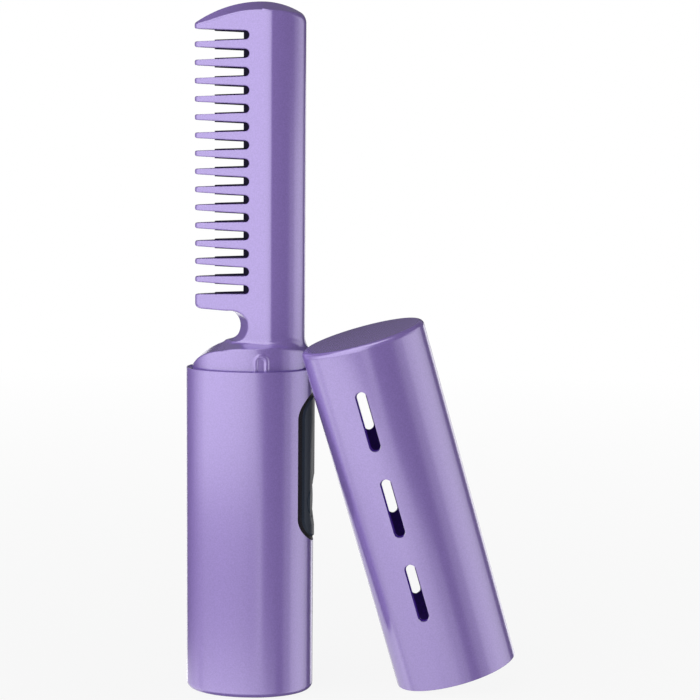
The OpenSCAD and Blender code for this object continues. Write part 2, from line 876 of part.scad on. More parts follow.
// What is cut away from the comb, seen from the front
module comb_cuts() {
    meet_z = handle_h + notch_z + notch_r - notch_meet;
    slant = (last_tooth_z - meet_z) / (comb_left - notch_x);
    comb_slots();
    corner_cut(-comb_left, last_tooth_z);
    polygon([
        [-comb_left - past, last_tooth_z + slant], [-notch_x, meet_z],
        [-notch_x, handle_h - past], [-comb_left - past, handle_h - past]
    ]);
}

// Takes off a square corner and leaves it round, at the lower left of the last tooth
module corner_cut(x, z) {
    difference() {
        translate([x - past, z - eps]) square([corner_r + past, corner_r]);
        translate([x + corner_r, z + corner_r]) circle(corner_r);
    }
}

// Flared cut of the notch, on one side of the comb
module notch_cut(side) {
    translate([-notch_x, 0, handle_h + notch_z]) rotate([90, 0, side * notch_flare])
        translate([0, 0, -spine_d]) cylinder(r = notch_r, h = 2 * spine_d);
}

module comb_body(side) {
    difference() {
        intersection() {
            translate([0, 0, handle_h + comb_foot]) linear_extrude(comb_h - comb_foot + past)
                half(side) comb_section();
            crown_side(side);
        }
        front_outline(-spine_d, spine_d) comb_cuts();
        notch_cut(side);
    }
}

// Arch of the shoulder, seen from the front
module shoulder_outline() {
    top = handle_h + shoulder_h;
    for (x = [-shoulder_x, shoulder_right_x]) {
        translate([x, top - shoulder_r]) circle(shoulder_r, $fn = 180);
    }
    translate([-shoulder_x, top - 2 * shoulder_r])
        square([shoulder_x + shoulder_right_x, 2 * shoulder_r]);
}

// Roof of the shoulder, seen from the side
module shoulder_roof_outline(side) {
    peak = handle_h + shoulder_h;
    edge = handle_h + shoulder_front_h;
    half = collar_d / 2;
    polygon([
        [-half, collar_z - past], [half, collar_z - past], [half, side > 0 ? peak : edge],
        [0, peak], [-half, side > 0 ? edge : peak]
    ]);
}

module shoulder_solid(side) {
    top = handle_h + shoulder_h;
    intersection() {
        translate([0, 0, collar_z]) linear_extrude(top - collar_z) half(side) oval(collar_w, collar_d);
        union() {
            front_outline(-collar_d, collar_d) shoulder_outline();
            translate([-collar_w, -collar_d, collar_z - past])
                cube([2 * collar_w, 2 * collar_d, collar_depth + past + shoulder_straight]);
        }
        translate([-collar_w, 0, 0]) rotate([90, 0, 90]) linear_extrude(2 * collar_w)
            shoulder_roof_outline(side);
    }
}

module snap_rib(side) {
    intersection() {
        front_outline(side > 0 ? -collar_d : past, side > 0 ? -past : collar_d)
            translate([rib_x, handle_h + rib_lift]) union() {
                translate([-rib_w / 2, 0]) square([rib_w, rib_h - rib_w / 2]);
                translate([0, rib_h - rib_w / 2]) circle(d = rib_w);
            }
        translate([0, 0, handle_h]) difference() {
            oval_column(collar_w + 2 * rib_out, collar_d + 2 * rib_out, shoulder_front_h);
            translate([0, 0, -past]) oval_column(collar_w - past, collar_d - past, shoulder_front_h + 2 * past);
        }
    }
}

module box_between(x, y, z) {
    translate([x[0], y[0], z[0]]) cube([x[1] - x[0], y[1] - y[0], z[1] - z[0]]);
}

// Bosses for the screws, inside the collar
module collar_bosses(side) {
    intersection() {
        translate([0, 0, collar_z]) linear_extrude(collar_depth) half(side) oval(collar_w, collar_d);
        union() {
            for (x = [-comb_screw_x, comb_screw_x]) {
                translate([x, 0, comb_screw_z]) rotate([90, 0, 0])
                    translate([0, 0, -collar_d]) cylinder(d = comb_boss_d, h = 2 * collar_d);
            }
            translate([0, -side * frame_screw_y, collar_z]) cylinder(d = frame_boss_d, h = frame_boss_h);
        }
    }
}

// Hollows shared by both halves: the collar's inside, the plate's pocket and the lead channel
module comb_hollows() {
    hollow_top = shoulder_front_h - shoulder_roof + collar_depth - 2;
    translate([0, 0, collar_z - past]) oval_column(collar_in_w, collar_in_d, hollow_top + past);
    box_between([-plate_left - comb_fit, plate_right + comb_fit],
        [-plate_t / 2 - comb_fit, plate_t / 2 + comb_fit],
        [plate_bottom - comb_fit, plate_top + comb_fit]);
}

module comb_screw_holes(side) {
    hole = screw_d + 2 * screw_fit;
    for (x = [-comb_screw_x, comb_screw_x]) {
        translate([x, 0, comb_screw_z]) rotate([90, 0, 0]) {
            translate([0, 0, -collar_d]) cylinder(d = hole, h = collar_d + comb_screw_seat);
            if (side < 0) {
                translate([0, 0, -collar_d])
                    cylinder(d = screw_head_d + 2 * screw_fit, h = collar_d - comb_screw_seat);
            }
        }
    }
    translate([0, -side * frame_screw_y, collar_z - past]) cylinder(d = hole, h = frame_boss_h);
}

module comb_shell(side) {
    difference() {
        union() {
            difference() {
                union() {
                    comb_body(side);
                    shoulder_solid(side);
                }
                comb_hollows();
            }
            collar_bosses(side);
            snap_rib(side);
        }
        comb_screw_holes(side);
        children();
    }
}

module comb_front_shell() {
    color(lavender) comb_shell(1) {
        box_between([heater_x - comb_fit, heater_x + ptc_w + comb_fit], [-heater_depth - comb_fit, past],
            [heater_z - past, heater_top + past]);
        box_between(channel_x, [-channel_y, past], [collar_z - past, heater_z]);
    }
}

module comb_back_shell() {
    color(lavender) comb_shell(-1) {
        box_between(channel_x, [-past, channel_y], [collar_z - past, fuse_z + fuse_len + end_room]);
        box_between([sensor_x - sensor_size[0] / 2 - comb_fit, channel_x[0] + past],
            [-past, sensor_y + sensor_size[1] / 2 + 2 * comb_fit],
            [collar_z - past, sensor_z + sensor_size[2] + end_room]);
    }
}

module comb_screws() {
    color(bright_metal) for (x = [-comb_screw_x, comb_screw_x]) {
        translate([x, comb_screw_seat, comb_screw_z]) rotate([90, 0, 0]) {
            translate([0, 0, -screw_head_t]) cylinder(d = screw_head_d, h = screw_head_t);
            cylinder(d = screw_d, h = 2 * comb_screw_seat - comb_screw_cover);
        }
    }
}

module heating_plate() {
    color(night_blue) front_outline(-plate_t / 2, plate_t / 2) difference() {
        translate([-plate_left, plate_bottom])
            square([plate_left + plate_right, plate_top - plate_bottom]);
        for (z = slot_z) {
            slot_outline(z, plate_lip, -plate_slot_x);
        }
    }
}

module ptc_elements() {
    color(ceramic) for (i = [0:ptc_count - 1]) {
        translate([heater_x, -plate_t / 2 - ptc_t, heater_z + i * ptc_pitch]) cube([ptc_w, ptc_t, ptc_len]);
    }
}

module electrode_strip() {
    color(copper) translate([heater_x, -plate_t / 2 - ptc_t - strip_t, heater_z])
        cube([ptc_w, strip_t, heater_top - heater_z]);
}

module mica_sheet() {
    color([0.8, 0.72, 0.5]) translate([heater_x, -heater_depth, heater_z])
        cube([ptc_w, mica_t, heater_top - heater_z]);
}

module thermistor() {
    color(near_black) translate([sensor_x - sensor_size[0] / 2, plate_t / 2, sensor_z])
        cube(sensor_size);
}

module thermal_cutoff() {
    color(bright_metal) translate([lead_x, plate_t / 2 + fuse_d / 2, fuse_z])
        cylinder(d = fuse_d, h = fuse_len);
}

module heater_leads() {
    start = board_z + board_len - heater_lead_drop;
    color(lead_red) {
        translate([lead_x, -lead_y, start]) cylinder(d = lead_d, h = heater_z - start - 0.1);
        translate([lead_x, lead_y, start]) cylinder(d = lead_d, h = fuse_z - start);
    }
}

module sensor_leads() {
    start = board_z + board_len - sensor_lead_drop;
    color("white") union() {
        translate([sensor_x, sensor_y, start]) cylinder(d = sensor_d, h = sensor_z - start);
        translate([0, sensor_y, start]) x_cylinder(sensor_d, sensor_x, board_back - sensor_x);
        translate([sensor_x, sensor_y, start]) sphere(d = sensor_d);
    }
}

// Cap

// Carries the cap from its own upright frame to where it leans on the handle
module leaning() {
    translate([foot_x, foot_y, foot_z]) rotate([0, -lean_side, 0]) rotate([lean_front, 0, 0])
        rotate([0, 0, cap_turn]) children();
}

module vents() {
    for (i = [0:vent_count - 1]) {
        translate([-vent_x, cap_d, cap_len - vent_drop - i * vent_pitch]) rotate([90, 0, 0])
            linear_extrude(2 * cap_d) stadium(vent_w, vent_len);
    }
}

// Closed oval body with a rounded top edge, standing on z = 0
module cap_body(w, d, h, r) {
    oval_column(w, d, h - r);
    translate([0, 0, h]) mirror([0, 0, 1]) oval_edge(w, d, r);
}

module cap_shell() {
    color(lavender) leaning() difference() {
        cap_body(cap_w, cap_d, cap_len, cap_round);
        translate([0, 0, -past]) cap_body(cap_in_w, cap_in_d, cap_len + past - cap_wall, cap_round - cap_wall);
        vents();
    }
}

module cap_liner() {
    color(night_blue) leaning() difference() {
        translate([0, 0, liner_z]) oval_column(liner_w, liner_d, liner_top - liner_z);
        oval_column(liner_w - 2 * liner_t, liner_d - 2 * liner_t, cap_len);
        vents();
    }
}

handle_shell();
inner_frame();
battery_cell();
battery_tabs();
foam_pads();
main_board();
control_chip();
charge_chip();
power_coil();
capacitors();
power_transistors();
switch_body();
switch_plunger();
indicator_leds();
light_guide();
usb_shell();
usb_tongue();
panel_adhesive();
control_panel();
power_button();
board_screws();
frame_screws();
heat_barrier();
comb_front_shell();
comb_back_shell();
comb_screws();
heating_plate();
ptc_elements();
electrode_strip();
mica_sheet();
thermistor();
thermal_cutoff();
heater_leads();
sensor_leads();
battery_leads();
cap_shell();
cap_liner();
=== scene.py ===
"""A cordless hair straightener: a heated comb on an oval handle, with its vented cap leaning on it."""

import math

import bmesh
import bpy
import numpy as np
from mathutils import Matrix, Vector


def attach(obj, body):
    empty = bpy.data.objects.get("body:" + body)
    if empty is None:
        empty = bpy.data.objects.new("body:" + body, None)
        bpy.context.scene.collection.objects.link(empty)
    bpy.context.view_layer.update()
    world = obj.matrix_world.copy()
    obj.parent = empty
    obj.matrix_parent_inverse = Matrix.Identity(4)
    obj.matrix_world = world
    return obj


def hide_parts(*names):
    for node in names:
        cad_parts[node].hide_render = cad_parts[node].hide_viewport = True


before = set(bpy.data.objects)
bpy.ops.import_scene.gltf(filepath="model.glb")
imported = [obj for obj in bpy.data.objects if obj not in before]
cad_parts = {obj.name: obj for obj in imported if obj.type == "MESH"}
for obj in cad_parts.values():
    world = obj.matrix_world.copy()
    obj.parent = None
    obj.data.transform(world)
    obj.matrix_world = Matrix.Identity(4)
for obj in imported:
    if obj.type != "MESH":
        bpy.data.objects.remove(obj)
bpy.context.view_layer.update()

# Main sizes in millimetres, in the part's own frame. Half widths of ovals are a along x and b along y
MM = 0.001
HANDLE = {"a": 19.2, "b": 12.8, "h": 98.8, "wall": 1.7, "floor": 1.8, "round": 2.0, "rim_round": 0.15}
SEAT = {"depth": 0.4, "inset": 0.5, "bevel": 0.1, "root": 0.05, "break": 0.03}
PORT = {"w": 3.66, "len": 9.34, "x": 12.03, "low": -1.0, "high": 3.0}
RIM_Z = HANDLE["h"]
COMB_TOP = RIM_Z + 108.4
PANEL = {"w": 15.7, "len": 45.7, "z": 69.15, "proud": 0.3, "gap": 0.12, "back": 16.0}
BUTTON = {"r": 5.3, "z": 58.6, "gap": 0.15, "back": 15.2}
DISH = {"depth": 1.35, "len": 16.4}
CAP = {"a": 18.6, "b": 12.35, "len": 109.6, "wall": 0.6, "round": 1.5, "foot_round": 0.12, "bevel": 0.1}
LINER = {"t": 0.5, "gap": 0.03, "foot": 0.5, "head": 0.4, "vent_shift": 0.3, "vent_less": 0.5}
VENT = {"x": -4.8, "w": 3.4, "len": 18.8, "drop": 22.6, "pitch": 27.6, "count": 3, "skew": 0.045}
LEAN = {"side": 15.6, "front": 8.0, "turn": 2.8, "foot": (63.102, 6.2)}

# Points around ovals and round ends, points in roundings, and points up a wall, clear of its roundings
OVAL_POINTS, LINER_POINTS, BORE_POINTS, BUTTON_POINTS = 256, 192, 128, 96
FINE_ARC, COARSE_ARC = 48, 24
ROUND_STEPS, RIM_STEPS, INNER_STEPS, FOOT_STEPS, EDGE_STEPS = 11, 5, 6, 4, 6
WALL_STEPS, WALL_CLEAR = 12, 4
TINY = 1e-9


# Mesh helpers


def add_object(name, mesh):
    obj = bpy.data.objects.new(name, mesh)
    bpy.context.scene.collection.objects.link(obj)
    return obj


def mesh_object(name, verts, faces):
    """An object from vertices in millimetres and faces as lists of indices."""
    mesh = bpy.data.meshes.new(name)
    mesh.from_pydata((np.asarray(verts) * MM).tolist(), [], [list(map(int, f)) for f in faces])
    mesh.update()
    return add_object(name, mesh)


def outward(obj, merge=0.0):
    """Turns the faces outwards, after joining vertices closer than merge in metres."""
    bm = bmesh.new()
    bm.from_mesh(obj.data)
    if merge:
        bmesh.ops.remove_doubles(bm, verts=bm.verts, dist=merge)
    bmesh.ops.recalc_face_normals(bm, faces=bm.faces)
    bm.to_mesh(obj.data)
    bm.free()


def loft(name, rings, closed=True):
    """A solid through rings with the same number of points."""
    n = len(rings[0])
    verts = np.concatenate(rings)
    faces = []
    for r in range(len(rings) - 1):
        a, b = r * n, (r + 1) * n
        for i in range(n):
            j = (i + 1) % n
            faces.append((a + i, a + j, b + j, b + i))
    if closed:
        last = (len(rings) - 1) * n
        faces.append(tuple(range(n))[::-1])
        faces.append(tuple(range(last, last + n)))
    obj = mesh_object(name, verts, faces)
    outward(obj)
    return obj


def circle(radius, n):
    t = np.arange(n) * 2 * math.pi / n
    return np.stack([radius * np.cos(t), radius * np.sin(t)], axis=1)


def stadium(width, length, arcs):
    """Outline of a stadium in two coordinates, its length along the second."""
    r, c = width / 2, (length - width) / 2
    t = np.linspace(0, math.pi, arcs + 1)
    up = np.stack([r * np.cos(t), c + r * np.sin(t)], axis=1)
    return np.concatenate([up, -up])


def facing_side(outline, x, z):
    """A ring that faces the handle's narrow side, from an outline, its x and the height of its middle."""
    return np.stack([x + np.zeros(len(outline)), outline[:, 0], outline[:, 1] + z], axis=1)


def oval_ring(a, b, z, n):
    t = np.arange(n) * 2 * math.pi / n
    return np.stack([a * np.cos(t), b * np.sin(t), np.full(n, z)], axis=1)


def oval_solid(name, a, b, profile, n):
    """A solid with oval rings, from pairs of inset and height."""
    return loft(name, [oval_ring(a - inset, b - inset, z, n) for inset, z in profile])


def quarter(inset, z, radius, start, end, steps):
    """Points of a rounding in a profile, by its centre. 0 degrees is outwards, and 90 upwards."""
    turn = np.radians(np.linspace(start, end, steps))
    return [(inset - radius * math.cos(t), z + radius * math.sin(t)) for t in turn]


def cut(obj, cutters):
    """Takes the cutters away from the object."""
    for cutter in cutters:
        mod = obj.modifiers.new("cut", "BOOLEAN")
        mod.operation = "DIFFERENCE"
        mod.solver = "EXACT"
        mod.object = cutter
    bpy.context.view_layer.update()
    done = bpy.data.meshes.new_from_object(obj.evaluated_get(bpy.context.evaluated_depsgraph_get()))
    obj.modifiers.clear()
    old = obj.data
    obj.data = done
    bpy.data.meshes.remove(old)
    for cutter in cutters:
        mesh = cutter.data
        bpy.data.objects.remove(cutter)
        bpy.data.meshes.remove(mesh)


# Fields: distances in millimetres, negative inside

FIELD_STEP = 0.02
SETTLE_ROUNDS, LEAST_SLOPE, LONGEST_MOVE = 4, 0.3, 0.2


def soft_min(a, b, k):
    h = np.maximum(k - np.abs(a - b), 0.0)
    return np.minimum(a, b) - h * h / (4.0 * k)


def soft_max(a, b, k):
    return -soft_min(-a, -b, k)


def ramp(x, start, length, low, rise):
    """Grows from low by rise, over a length from a start on. A negative length runs to the left."""
    return low + rise * np.clip((x - start) / length, 0, 1)


def ellipse(x, y, a, b):
    """Distance to an ellipse, close near its edge."""
    k0 = np.sqrt((x / a) ** 2 + (y / b) ** 2)
    k1 = np.sqrt((x / a**2) ** 2 + (y / b**2) ** 2)
    return np.where(k1 > TINY, k0 * (k0 - 1.0) / np.maximum(k1, TINY), -min(a, b))


def rounded(distance, z_side, radius):
    """Rounds the edge between a wall and a flat face, from the distances to both."""
    u, v = distance + radius, z_side + radius
    both = np.hypot(np.maximum(u, 0), np.maximum(v, 0)) - radius
    return np.where((u > 0) & (v > 0), both, np.maximum(distance, z_side))


def gradient(field, points):
    """Unit normals of a field at points in millimetres."""
    out = np.empty_like(points)
    for i in range(3):
        step = np.zeros(3)
        step[i] = FIELD_STEP
        up, down = points + step, points - step
        out[:, i] = field(*up.T) - field(*down.T)
    return out / np.maximum(np.linalg.norm(out, axis=1, keepdims=True), TINY)


def settle(field, points):
    """Points moved onto the surface where the field is zero."""
    points = points.copy()
    for _ in range(SETTLE_ROUNDS):
        normal = gradient(field, points)
        ahead = field(*(points + normal * FIELD_STEP).T)
        behind = field(*(points - normal * FIELD_STEP).T)
        slope = np.maximum((ahead - behind) / (2 * FIELD_STEP), LEAST_SLOPE)
        value = (ahead + behind) / 2
        points -= normal * np.clip(value / slope, -LONGEST_MOVE, LONGEST_MOVE)[:, None]
    return points


# Corners of a grid cell, and the pairs of them that its edges join
CORNERS = np.array([(i, j, k) for i in (0, 1) for j in (0, 1) for k in (0, 1)])
EDGES = [(a, b) for a in range(8) for b in range(a + 1, 8) if np.abs(CORNERS[a] - CORNERS[b]).sum() == 1]


def crossed_cells(inside):
    """Grid cells that the surface goes through."""
    cells = tuple(n - 1 for n in inside.shape)
    total = np.zeros(cells, dtype=np.int8)
    for i, j, k in CORNERS:
        total += inside[i : i + cells[0], j : j + cells[1], k : k + cells[2]]
    return np.argwhere((total > 0) & (total < len(CORNERS)))


def cell_points(value, active):
    """One point in each crossed cell: the middle of the places where its edges meet the surface."""
    corner = np.stack([value[tuple((active + c).T)] for c in CORNERS], axis=1)
    place = np.zeros((len(active), 3))
    count = np.zeros(len(active))
    for a, b in EDGES:
        cross = (corner[:, a] < 0) != (corner[:, b] < 0)
        t = np.where(cross, corner[:, a] / np.where(cross, corner[:, a] - corner[:, b], 1.0), 0.0)
        place += np.where(cross[:, None], CORNERS[a] + t[:, None] * (CORNERS[b] - CORNERS[a]), 0.0)
        count += cross
    return active + place / count[:, None]


def net_quads(inside, index, axis):
    """Quads around the grid edges along one axis that go through the surface."""
    u, v = [(1, 2), (2, 0), (0, 1)][axis]
    first = [slice(1, -1)] * 3
    first[axis] = slice(0, -1)
    second = list(first)
    second[axis] = slice(1, None)
    here, there = inside[tuple(first)], inside[tuple(second)]
    found = np.argwhere(here != there)
    out = here[tuple(found.T)]
    base = found + 1
    base[:, axis] -= 1
    quad = []
    for du, dv in ((-1, -1), (0, -1), (0, 0), (-1, 0)):
        cell = base.copy()
        cell[:, u] += du
        cell[:, v] += dv
        quad.append(index[tuple(cell.T)])
    quad = np.stack(quad, axis=1)
    quad[~out] = quad[~out][:, ::-1]
    return quad


def net(field, low, high, step):
    """Vertices and quads of the surface where the field is zero, inside a box in millimetres."""
    axes = [np.arange(lo, hi + step, step) for lo, hi in zip(low, high)]
    value = field(*np.meshgrid(*axes, indexing="ij", sparse=True)).astype(np.float32)
    inside = value < 0
    active = crossed_cells(inside)
    index = np.full(tuple(n - 1 for n in inside.shape), -1, dtype=np.int64)
    index[tuple(active.T)] = np.arange(len(active))
    verts = cell_points(value, active) * step + np.asarray(low)
    faces = [net_quads(inside, index, axis) for axis in range(3)]
    return settle(field, verts), np.concatenate(faces)


# A normal is read a little inside its face: this far from the corner, or this share of the way
READ_REACH, READ_SHARE = 0.03, 0.2


def read_mesh(items, key, width, kind=np.float64):
    """One property of all of a mesh's vertices, loops or faces."""
    values = np.empty(len(items) * width, dtype=kind)
    items.foreach_get(key, values)
    return values.reshape(-1, width) if width > 1 else values


def shade(obj, field, keep=0.75):
    """Custom normals from a field, wherever a face follows it. Other faces stay flat."""
    mesh = obj.data
    sizes = read_mesh(mesh.polygons, "loop_total", 1, np.int32)
    face = np.repeat(np.arange(len(mesh.polygons)), sizes)
    flat = read_mesh(mesh.polygons, "normal", 3)[face]
    centre = read_mesh(mesh.polygons, "center", 3)[face] / MM
    verts = read_mesh(mesh.vertices, "co", 3) / MM
    point = verts[read_mesh(mesh.loops, "vertex_index", 1, np.int32)]
    reach = centre - point
    length = np.maximum(np.linalg.norm(reach, axis=1, keepdims=True), TINY)
    point = point + reach / length * np.minimum(READ_REACH, length * READ_SHARE)
    found = gradient(field, point)
    close = (np.einsum("ij,ij->i", found, flat) > keep)[:, None]
    mesh.shade_smooth()
    mesh.normals_split_custom_set(np.where(close, found, flat).tolist())


# Materials

MOTTLE_LOW, MOTTLE_HIGH = 0.35, 0.65
NOISE_DETAIL = 2.0
BUMP_FINER, BUMP_DISTANCE = 1.6, 0.0001


def shader(name, **sockets):
    """A Principled material with its constant values set on the shader's own sockets."""
    mat = bpy.data.materials.new(name)
    mat.use_nodes = True
    node = mat.node_tree.nodes["Principled BSDF"]
    for key, value in sockets.items():
        node.inputs[key.replace("_", " ")].default_value = value
    return mat, mat.node_tree, node


def noise(tree, scale):
    """Noise fixed to the piece, with its scale in turns per metre."""
    place = tree.nodes.new("ShaderNodeTexCoord")
    tex = tree.nodes.new("ShaderNodeTexNoise")
    tex.inputs["Scale"].default_value = scale
    tex.inputs["Detail"].default_value = NOISE_DETAIL
    tree.links.new(place.outputs["Object"], tex.inputs["Vector"])
    return tex.outputs["Fac"]


def mottle(tree, target, dark, light, scale):
    """Drives a colour socket between two colours with noise."""
    blend = tree.nodes.new("ShaderNodeValToRGB")
    low, high = blend.color_ramp.elements
    low.position, low.color = MOTTLE_LOW, (*dark, 1)
    high.position, high.color = MOTTLE_HIGH, (*light, 1)
    tree.links.new(noise(tree, scale), blend.inputs["Fac"])
    tree.links.new(blend.outputs["Color"], target)


def grain(tree, node, scale, strength):
    """Fine bump."""
    bump = tree.nodes.new("ShaderNodeBump")
    bump.inputs["Strength"].default_value = strength
    bump.inputs["Distance"].default_value = BUMP_DISTANCE
    tree.links.new(noise(tree, scale), bump.inputs["Height"])
    tree.links.new(bump.outputs["Normal"], node.inputs["Normal"])


def speckled(name, colour, spread, scale, bump, **sockets):
    """A moulded material: its colour wanders by a share of itself, over a fine bump."""
    mat, tree, node = shader(name, **sockets)
    dark = [c * (1 - spread) for c in colour]
    light = [min(1.0, c * (1 + spread)) for c in colour]
    mottle(tree, node.inputs["Base Color"], dark, light, scale)
    grain(tree, node, scale * BUMP_FINER, bump)
    return mat


lavender = speckled("lavender_pearl", (0.30, 0.20, 0.585), 0.07, 2600, 0.012, Metallic=0.2, Roughness=0.24,
                    Coat_Weight=1.0, Coat_Roughness=0.18, Coat_IOR=2.0)
# Painted shade: the cap's inner sleeve gets a dark navy that stands in for the shade inside the cap
liner_dark = speckled("liner_dark", (0.05, 0.008, 0.26), 0.2, 1500, 0.3, Roughness=0.5,
                      Specular_IOR_Level=0.2)
plate_blue = speckled("plate_night_blue", (0.007, 0.003, 0.026), 0.2, 1800, 0.2, Roughness=0.5,
                      Specular_IOR_Level=0.15)
panel_dark = speckled("panel_charcoal", (0.020, 0.030, 0.050), 0.12, 2200, 0.08, Roughness=0.4,
                      Specular_IOR_Level=0.3)
border_black = speckled("panel_border_black", (0.006, 0.004, 0.009), 0.2, 1600, 0.2, Roughness=0.5,
                        Specular_IOR_Level=0.15)
steel = speckled("stamped_steel", (0.62, 0.62, 0.65), 0.05, 900, 0.15, Metallic=1.0, Roughness=0.3)
nickel = speckled("nickel", (0.7, 0.68, 0.64), 0.04, 700, 0.1, Metallic=1.0, Roughness=0.22)
copper = speckled("copper", (0.8, 0.42, 0.25), 0.06, 800, 0.1, Metallic=1.0, Roughness=0.3)
chip = speckled("chip_black", (0.018, 0.018, 0.02), 0.2, 1500, 0.3, Roughness=0.55)
board = speckled("circuit_board", (0.012, 0.11, 0.05), 0.15, 500, 0.1, Roughness=0.35)
grey = speckled("grey_plastic", (0.08, 0.08, 0.09), 0.1, 1400, 0.3, Roughness=0.5)
white = speckled("white_plastic", (0.72, 0.72, 0.7), 0.04, 1200, 0.2, Roughness=0.45)
ceramic = speckled("ceramic", (0.75, 0.71, 0.62), 0.05, 900, 0.3, Roughness=0.6)
tan = speckled("ceramic_tan", (0.45, 0.31, 0.16), 0.08, 1500, 0.2, Roughness=0.4)
foam = speckled("foam", (0.02, 0.02, 0.022), 0.4, 900, 1.0, Roughness=0.95)
silicone = speckled("silicone_sheet", (0.34, 0.07, 0.035), 0.08, 700, 0.3, Roughness=0.6)
wrap = speckled("cell_wrap", (0.06, 0.2, 0.45), 0.05, 400, 0.05, Roughness=0.2)
mica = speckled("mica", (0.55, 0.45, 0.22), 0.2, 300, 0.2, Roughness=0.25)
red = speckled("red_silicone", (0.42, 0.012, 0.01), 0.06, 1500, 0.2, Roughness=0.4)
ferrite = speckled("ferrite", (0.05, 0.05, 0.055), 0.2, 1200, 0.4, Roughness=0.6)


# Solids that stay as they are, by material

KEPT = (
    (grey, ("inner_frame", "light_guide")),
    (wrap, ("battery_cell",)),
    (nickel, ("battery_tabs", "thermal_cutoff")),
    (foam, ("foam_pads",)),
    (board, ("main_board",)),
    (chip, ("control_chip", "charge_chip", "power_transistors", "switch_body", "usb_tongue", "thermistor")),
    (ferrite, ("power_coil",)),
    (tan, ("capacitors",)),
    (white, ("switch_plunger", "indicator_leds", "sensor_leads")),
    (steel, ("usb_shell", "board_screws", "frame_screws", "comb_screws")),
    (border_black, ("panel_adhesive",)),
    (silicone, ("heat_barrier",)),
    (plate_blue, ("heating_plate",)),
    (ceramic, ("ptc_elements",)),
    (copper, ("electrode_strip",)),
    (mica, ("mica_sheet",)),
    (red, ("heater_leads", "battery_leads")),
)


def colour_kept_solids():
    for mat, node_names in KEPT:
        for node_name in node_names:
            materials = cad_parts[node_name].data.materials
            materials.clear()
            materials.append(mat)


colour_kept_solids()


def dress(piece, body, slot_name, *node_names):
    """Hangs a piece on its body, in place of the solids that it stands for."""
    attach(piece, body)
    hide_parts(*node_names)


# Comb and collar

WEDGE = {"tip_x": -14.85, "tip_r": 1.75, "angle": math.radians(13.34)}
SPINE = {"a": 16.4, "b": 7.2, "blend": 0.6}
SLOTS = {"count": 15, "first": COMB_TOP - 9.95, "pitch": 5.34,
         "root_x": -1.18, "root_r": 1.28, "tip_x": -16.6, "tip_r": 1.85}
COLLAR = {"a": 17.4, "b": 11.0, "foot": RIM_Z - 3.0}
COMB_FOOT = RIM_Z + 2

# The crown's two arcs, and how far it falls from the middle to the faces at the teeth and at the spine
CROWN = {"x": 3.4, "left_r": 34.5, "right_r": 22.0, "slope": 0.9}
CROWN_FALL = {"depth": 2.75, "tip_x": -16.9, "run": 3.2, "turn_x": 4, "full_half": 6.85, "power": 1.6}
CROWN_HALF = {"least": 1.2, "end_gap": 0.4, "end_share": 0.02, "reach": 1.3}

# The hair notch is round on the right, and reaches further below its middle than above. It flares
# towards the faces
NOTCH = {"x": -7.0, "z": RIM_Z + 12.75, "r": 4.05, "low": 4.9, "high": 4.4, "flare": 0.54, "blend": 0.6}
LAST_TOOTH = {"x": -14.9, "z": RIM_Z + 17.55, "slope": 0.048}
FAR = 99.0

DOME = {"top": RIM_Z + 8.6, "r": 19.5, "left": -2.0, "right": 6.0, "edge": 0.45, "slope": 0.95}
DOME_TILT = {"x": -4, "slope": 0.02, "fall_from": 1.0}
RIB = {"x": 4.4, "w": 4.6, "h": 5.2, "inset": 0.65, "half_w": 0.55,
       "proud": 0.3, "round": 0.4, "blend": 0.25}

# What changes along x: where the change starts, its length, the first value and the growth
DOME_FALL = (-15.4, 8, 0, 0.2)
CROWN_EDGE = (11, 5, 0.5, 1.4)
SLOT_EDGE = (-15.4, -1.2, 0.35, 0.3)
NOTCH_EDGE = (-14.5, -1.5, 0.45, 1.2)
SHOULDER_BLEND = (5, 8, 1.6, 1.4)

# Box and step of the grid that the comb's surface is read on
COMB_LOW = (-17.9, -11.9, RIM_Z - 3.4)
COMB_HIGH = (18.1, 11.9, COMB_TOP + 0.6)
COMB_STEP = 0.3


def comb_section(x, y):
    """The wedge from the tips, run into the round spine."""
    t = x - WEDGE["tip_x"]
    cos, sin = math.cos(WEDGE["angle"]), math.sin(WEDGE["angle"])
    along = t * cos + y * sin
    side = -t * sin + y * cos - WEDGE["tip_r"]
    wedge = np.where(along < 0, np.hypot(t, y) - WEDGE["tip_r"], side)
    spine = ellipse(np.maximum(x, 0.0), y, SPINE["a"], SPINE["b"])
    return soft_max(wedge, spine, SPINE["blend"])


def comb_half(x):
    """Half of the comb's thickness at each x."""
    wedge = (WEDGE["tip_r"] + (x - WEDGE["tip_x"]) * math.sin(WEDGE["angle"])) / math.cos(WEDGE["angle"])
    share = 1 - (np.maximum(x, 0) / (SPINE["a"] + CROWN_HALF["end_gap"])) ** 2
    spine = SPINE["b"] * np.sqrt(np.maximum(share, CROWN_HALF["end_share"]))
    return np.maximum(np.minimum(wedge, spine), CROWN_HALF["least"])


def comb_crown(x, y, z):
    """The arched top, which falls away to the front and the back."""
    d = x - CROWN["x"]
    radius = np.where(d < 0, CROWN["left_r"], CROWN["right_r"])
    top = COMB_TOP - radius + np.sqrt(np.maximum(radius**2 - d * d, 1.0))
    half = comb_half(x)
    at_teeth = 1 - np.exp(-np.maximum(x - CROWN_FALL["tip_x"], 0.05) / CROWN_FALL["run"])
    at_spine = (half / CROWN_FALL["full_half"]) ** CROWN_FALL["power"]
    drop = CROWN_FALL["depth"] * np.where(x < CROWN_FALL["turn_x"], at_teeth, at_spine)
    return (z - top + drop * np.minimum(y / half, CROWN_HALF["reach"])) * CROWN["slope"]


